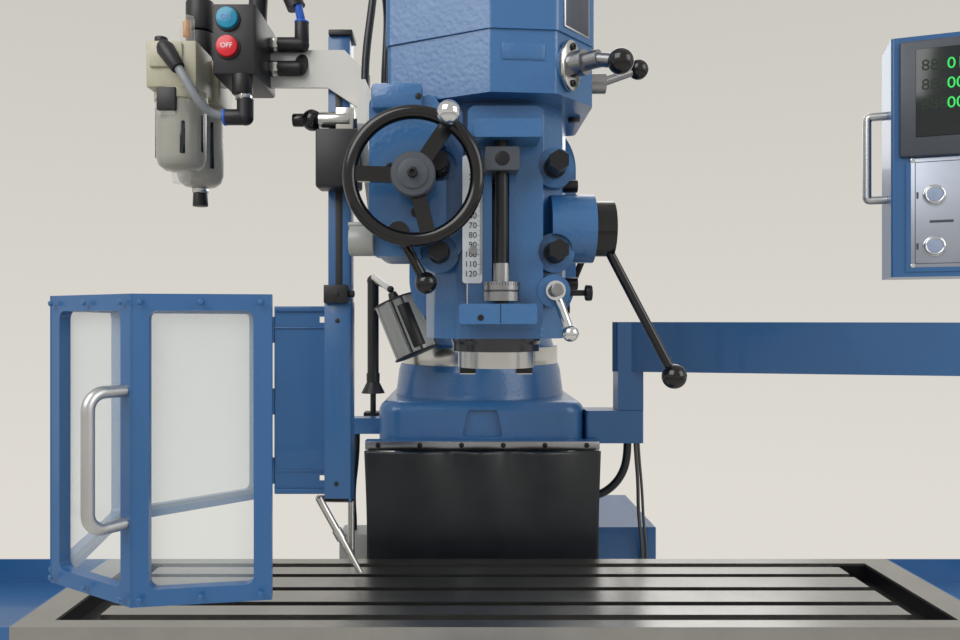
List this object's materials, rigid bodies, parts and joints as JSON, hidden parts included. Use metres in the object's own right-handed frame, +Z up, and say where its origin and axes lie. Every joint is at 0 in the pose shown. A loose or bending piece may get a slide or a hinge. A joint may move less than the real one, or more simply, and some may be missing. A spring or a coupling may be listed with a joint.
{
  "type": "turret mill",
  "caption": "Knee-type vertical turret mill with sliding ram, nodding and tilting head, T-slotted table, swing guard and readout arm.",
  "frame": {"origin": "on the floor, at the centre of the four foundation bolt holes", "axes": "+X right seen from the front, +Y to the back, +Z up along the spindle and the turret axis"},
  "size_m": [2.096, 1.652, 2.2],
  "materials": {
    "aluminium": "satin anodised aluminium",
    "black_plastic": "matt black plastic",
    "black_steel": "black oxide steel",
    "blue_casting": "hammered blue enamel on cast iron",
    "blue_sheet": "smooth blue enamel on sheet steel",
    "chrome": "polished chrome plate",
    "clear_pane": "clear polycarbonate",
    "cream_paint": "cream enamel",
    "cyan_plastic": "cyan push button",
    "grey_plastic": "grey plastic and clear bowls",
    "ground_iron": "ground and scraped iron",
    "ground_steel": "ground steel",
    "motor_grey": "grey enamel",
    "red_plastic": "red push button",
    "rubber": "black rubber sheet",
    "white_plate": "white enamelled plate"
  },
  "bodies": {
    "base": {"column": "blue_casting", "column_head": "blue_casting", "way_cover": "rubber", "cabinet": "blue_sheet", "lamp_base": "black_plastic", "dro_bracket": "blue_sheet", "left_cable": "black_plastic", "right_hose": "black_plastic"},
    "cabinet_door": {"cabinet_door": "blue_sheet"},
    "lamp_arm": {"lamp_arm": "black_plastic"},
    "lamp_head": {"lamp_head": "aluminium"},
    "knee": {"knee": "blue_casting", "elevating_screw": "ground_steel"},
    "knee_crank": {"knee_crank": "ground_steel"},
    "knee_lock": {"knee_lock": "black_steel"},
    "cross_handwheel": {"cross_handwheel": "ground_steel"},
    "saddle": {"saddle": "ground_iron", "coolant_nozzle": "ground_steel"},
    "table_lock": {"table_lock": "black_steel"},
    "table": {"table": "ground_iron", "end_trays": "blue_sheet"},
    "table_screw": {"table_screw": "ground_steel"},
    "turret": {"turret": "blue_casting"},
    "ram": {"ram": "blue_casting", "accessory_bracket": "cream_paint", "guard_rail": "blue_sheet", "button_box": "black_plastic", "air_unit": "grey_plastic", "head_conduit": "black_plastic"},
    "ram_lever": {"ram_lever": "black_steel"},
    "rail_knob": {"rail_knob": "black_plastic"},
    "guard_slider": {"guard_plate": "blue_sheet"},
    "guard": {"guard_frame": "blue_sheet", "guard_windows": "clear_pane", "guard_handle": "aluminium"},
    "on_button": {"on_button": "cyan_plastic"},
    "off_button": {"off_button": "red_plastic"},
    "knuckle": {"knuckle": "blue_casting"},
    "head": {"head_casting": "blue_casting", "gear_housing": "blue_casting", "belt_housing": "blue_casting", "motor": "motor_grey", "feed_box": "blue_casting", "clamp_bolts": "black_steel", "quill_scale": "white_plate", "stop_screw": "black_steel"},
    "quill": {"quill": "ground_steel", "stop_block": "black_steel"},
    "spindle": {"spindle": "ground_steel"},
    "micrometer_nut": {"micrometer_nut": "ground_steel"},
    "quill_lever": {"quill_lever": "black_steel"},
    "quill_lock": {"quill_lock": "chrome"},
    "feed_handwheel": {"feed_handwheel": "black_steel"},
    "feed_trip_lever": {"feed_trip_lever": "black_steel"},
    "hi_lo_lever": {"hi_lo_lever": "black_steel"},
    "brake_lever": {"brake_lever": "black_steel"},
    "dro_arm": {"dro_arm": "blue_sheet"},
    "dro_box": {"dro_box": "blue_sheet"},
    "upper_knob": {"upper_knob": "black_plastic"},
    "lower_knob": {"lower_knob": "black_plastic"}
  },
  "joints": [
    {"name": "knee_lift", "type": "slide", "parent": "base", "child": "knee", "axis": [0, 0, -1], "range_m": [-0.14, 0.25], "deforming": ["way_cover"]},
    {"name": "knee_crank_turn", "type": "hinge", "parent": "knee", "child": "knee_crank", "pos_m": [0.118, -0.82, 0.69], "axis": [0, -1, 0], "range_deg": [-5070, 9030]},
    {"name": "knee_lock_turn", "type": "hinge", "parent": "knee", "child": "knee_lock", "pos_m": [0.165, -0.19, 0.68], "axis": [1, 0, 0], "range_deg": [-20, 45]},
    {"name": "saddle_slide", "type": "slide", "parent": "knee", "child": "saddle", "axis": [0, -1, 0], "range_m": [-0.02, 0.25]},
    {"name": "cross_handwheel_turn", "type": "hinge", "parent": "knee", "child": "cross_handwheel", "pos_m": [0, -0.82, 0.7], "axis": [0, -1, 0], "range_deg": [-1470, 18030]},
    {"name": "table_lock_turn", "type": "hinge", "parent": "saddle", "child": "table_lock", "pos_m": [0.11, -0.5865, 0.835], "axis": [0, -1, 0], "range_deg": [-30, 40]},
    {"name": "table_slide", "type": "slide", "parent": "saddle", "child": "table", "axis": [1, 0, 0], "range_m": [-0.4, 0.37]},
    {"name": "table_screw_turn", "type": "hinge", "parent": "table", "child": "table_screw", "pos_m": [0.024, -0.4215, 0.867], "axis": [1, 0, 0], "range_deg": [-28830, 26670]},
    {"name": "turret_swivel", "type": "hinge", "parent": "base", "child": "turret", "pos_m": [0, 0.08, 1.3], "axis": [0, 0, 1], "range_deg": [-90, 35]},
    {"name": "ram_slide", "type": "slide", "parent": "turret", "child": "ram", "axis": [0, 1, 0], "range_m": [-0.03, 0.23]},
    {"name": "ram_lever_turn", "type": "hinge", "parent": "turret", "child": "ram_lever", "pos_m": [0.165, 0.04, 1.4], "axis": [1, 0, 0], "range_deg": [-39, 230]},
    {"name": "head_nod", "type": "hinge", "parent": "ram", "child": "knuckle", "pos_m": [0, -0.51, 1.51], "axis": [-1, 0, 0], "range_deg": [-45, 45]},
    {"name": "head_tilt", "type": "hinge", "parent": "knuckle", "child": "head", "pos_m": [0, -0.64, 1.51], "axis": [0, 1, 0], "range_deg": [-45, 45]},
    {"name": "quill_feed", "type": "slide", "parent": "head", "child": "quill", "axis": [0, 0, -1], "range_m": [0, 0.091]},
    {"name": "spindle_turn", "type": "hinge", "parent": "quill", "child": "spindle", "pos_m": [0, -0.732, 1.4], "axis": [0, 0, -1], "continuous": true},
    {"name": "quill_lever_turn", "type": "hinge", "parent": "head", "child": "quill_lever", "pos_m": [0.114, -0.8, 1.474], "axis": [1, 0, 0], "range_deg": [-266, 5]},
    {"name": "micrometer_turn", "type": "hinge", "parent": "head", "child": "micrometer_nut", "pos_m": [0, -0.862, 1.404], "axis": [0, 0, 1], "continuous": true},
    {"name": "quill_lock_turn", "type": "hinge", "parent": "head", "child": "quill_lock", "pos_m": [0.055, -0.844, 1.405], "axis": [0, -1, 0], "range_deg": [-30, 40]},
    {"name": "feed_handwheel_turn", "type": "hinge", "parent": "head", "child": "feed_handwheel", "pos_m": [-0.087, -0.87, 1.515], "axis": [0, -1, 0], "continuous": true},
    {"name": "feed_trip_turn", "type": "hinge", "parent": "head", "child": "feed_trip_lever", "pos_m": [-0.103, -0.852, 1.462], "axis": [0, -1, 0], "range_deg": [-25, 10]},
    {"name": "hi_lo_turn", "type": "hinge", "parent": "head", "child": "hi_lo_lever", "pos_m": [0.07, -0.8447, 1.637], "axis": [0.7634, -0.6459, 0], "range_deg": [-30, 30]},
    {"name": "brake_turn", "type": "hinge", "parent": "head", "child": "brake_lever", "pos_m": [0.101, -0.785, 1.637], "axis": [1, 0, 0], "range_deg": [-20, 30]},
    {"name": "guard_height", "type": "slide", "parent": "ram", "child": "guard_slider", "axis": [0, 0, -1], "range_m": [-0.12, 0]},
    {"name": "guard_swing", "type": "hinge", "parent": "guard_slider", "child": "guard", "pos_m": [-0.336, -0.462, 1.25], "axis": [0, 0, 1], "range_deg": [-60, 8]},
    {"name": "rail_knob_turn", "type": "hinge", "parent": "ram", "child": "rail_knob", "pos_m": [-0.286, -0.494, 1.672], "axis": [1, 0, 0], "range_deg": [-180, 180]},
    {"name": "on_press", "type": "slide", "parent": "ram", "child": "on_button", "axis": [0, 1, 0], "range_m": [0, 0.004], "stiffness_N_per_m": 400},
    {"name": "off_press", "type": "slide", "parent": "ram", "child": "off_button", "axis": [0, 1, 0], "range_m": [0, 0.004], "stiffness_N_per_m": 400},
    {"name": "cabinet_door_swing", "type": "hinge", "parent": "base", "child": "cabinet_door", "pos_m": [0.3547, 0.262, 0.722], "axis": [0, 0, 1], "range_deg": [0, 110]},
    {"name": "lamp_swivel", "type": "hinge", "parent": "base", "child": "lamp_arm", "pos_m": [-0.228, 0, 1.244], "axis": [0, 0, 1], "range_deg": [-90, 3]},
    {"name": "lamp_tilt", "type": "hinge", "parent": "lamp_arm", "child": "lamp_head", "pos_m": [-0.18098, -0.10968, 1.4359], "axis": [0, 1, 0], "range_deg": [-8, 30]},
    {"name": "dro_arm_swing", "type": "hinge", "parent": "base", "child": "dro_arm", "pos_m": [0.293, -0.098, 1.197], "axis": [0, 0, 1], "range_deg": [-20, 60]},
    {"name": "dro_box_swivel", "type": "hinge", "parent": "dro_arm", "child": "dro_box", "pos_m": [0.85, -0.47, 1.434], "axis": [0, 0, 1], "range_deg": [-45, 45]},
    {"name": "upper_knob_turn", "type": "hinge", "parent": "dro_box", "child": "upper_knob", "pos_m": [0.68808, -0.45228, 1.568], "axis": [-0.342, -0.9397, 0], "range_deg": [-140, 140]},
    {"name": "lower_knob_turn", "type": "hinge", "parent": "dro_box", "child": "lower_knob", "pos_m": [0.68808, -0.45228, 1.489], "axis": [-0.342, -0.9397, 0], "range_deg": [-140, 140]}
  ],
  "couplings": [
    {"joint": "knee_crank_turn", "follows": "knee_lift", "rad_per_m": 628.32},
    {"joint": "cross_handwheel_turn", "follows": "saddle_slide", "rad_per_m": 1256.6},
    {"joint": "table_screw_turn", "follows": "table_slide", "rad_per_m": 1256.6},
    {"joint": "ram_lever_turn", "follows": "ram_slide", "rad_per_m": 16.667},
    {"joint": "quill_lever_turn", "follows": "quill_feed", "rad_per_m": -50}
  ]
}
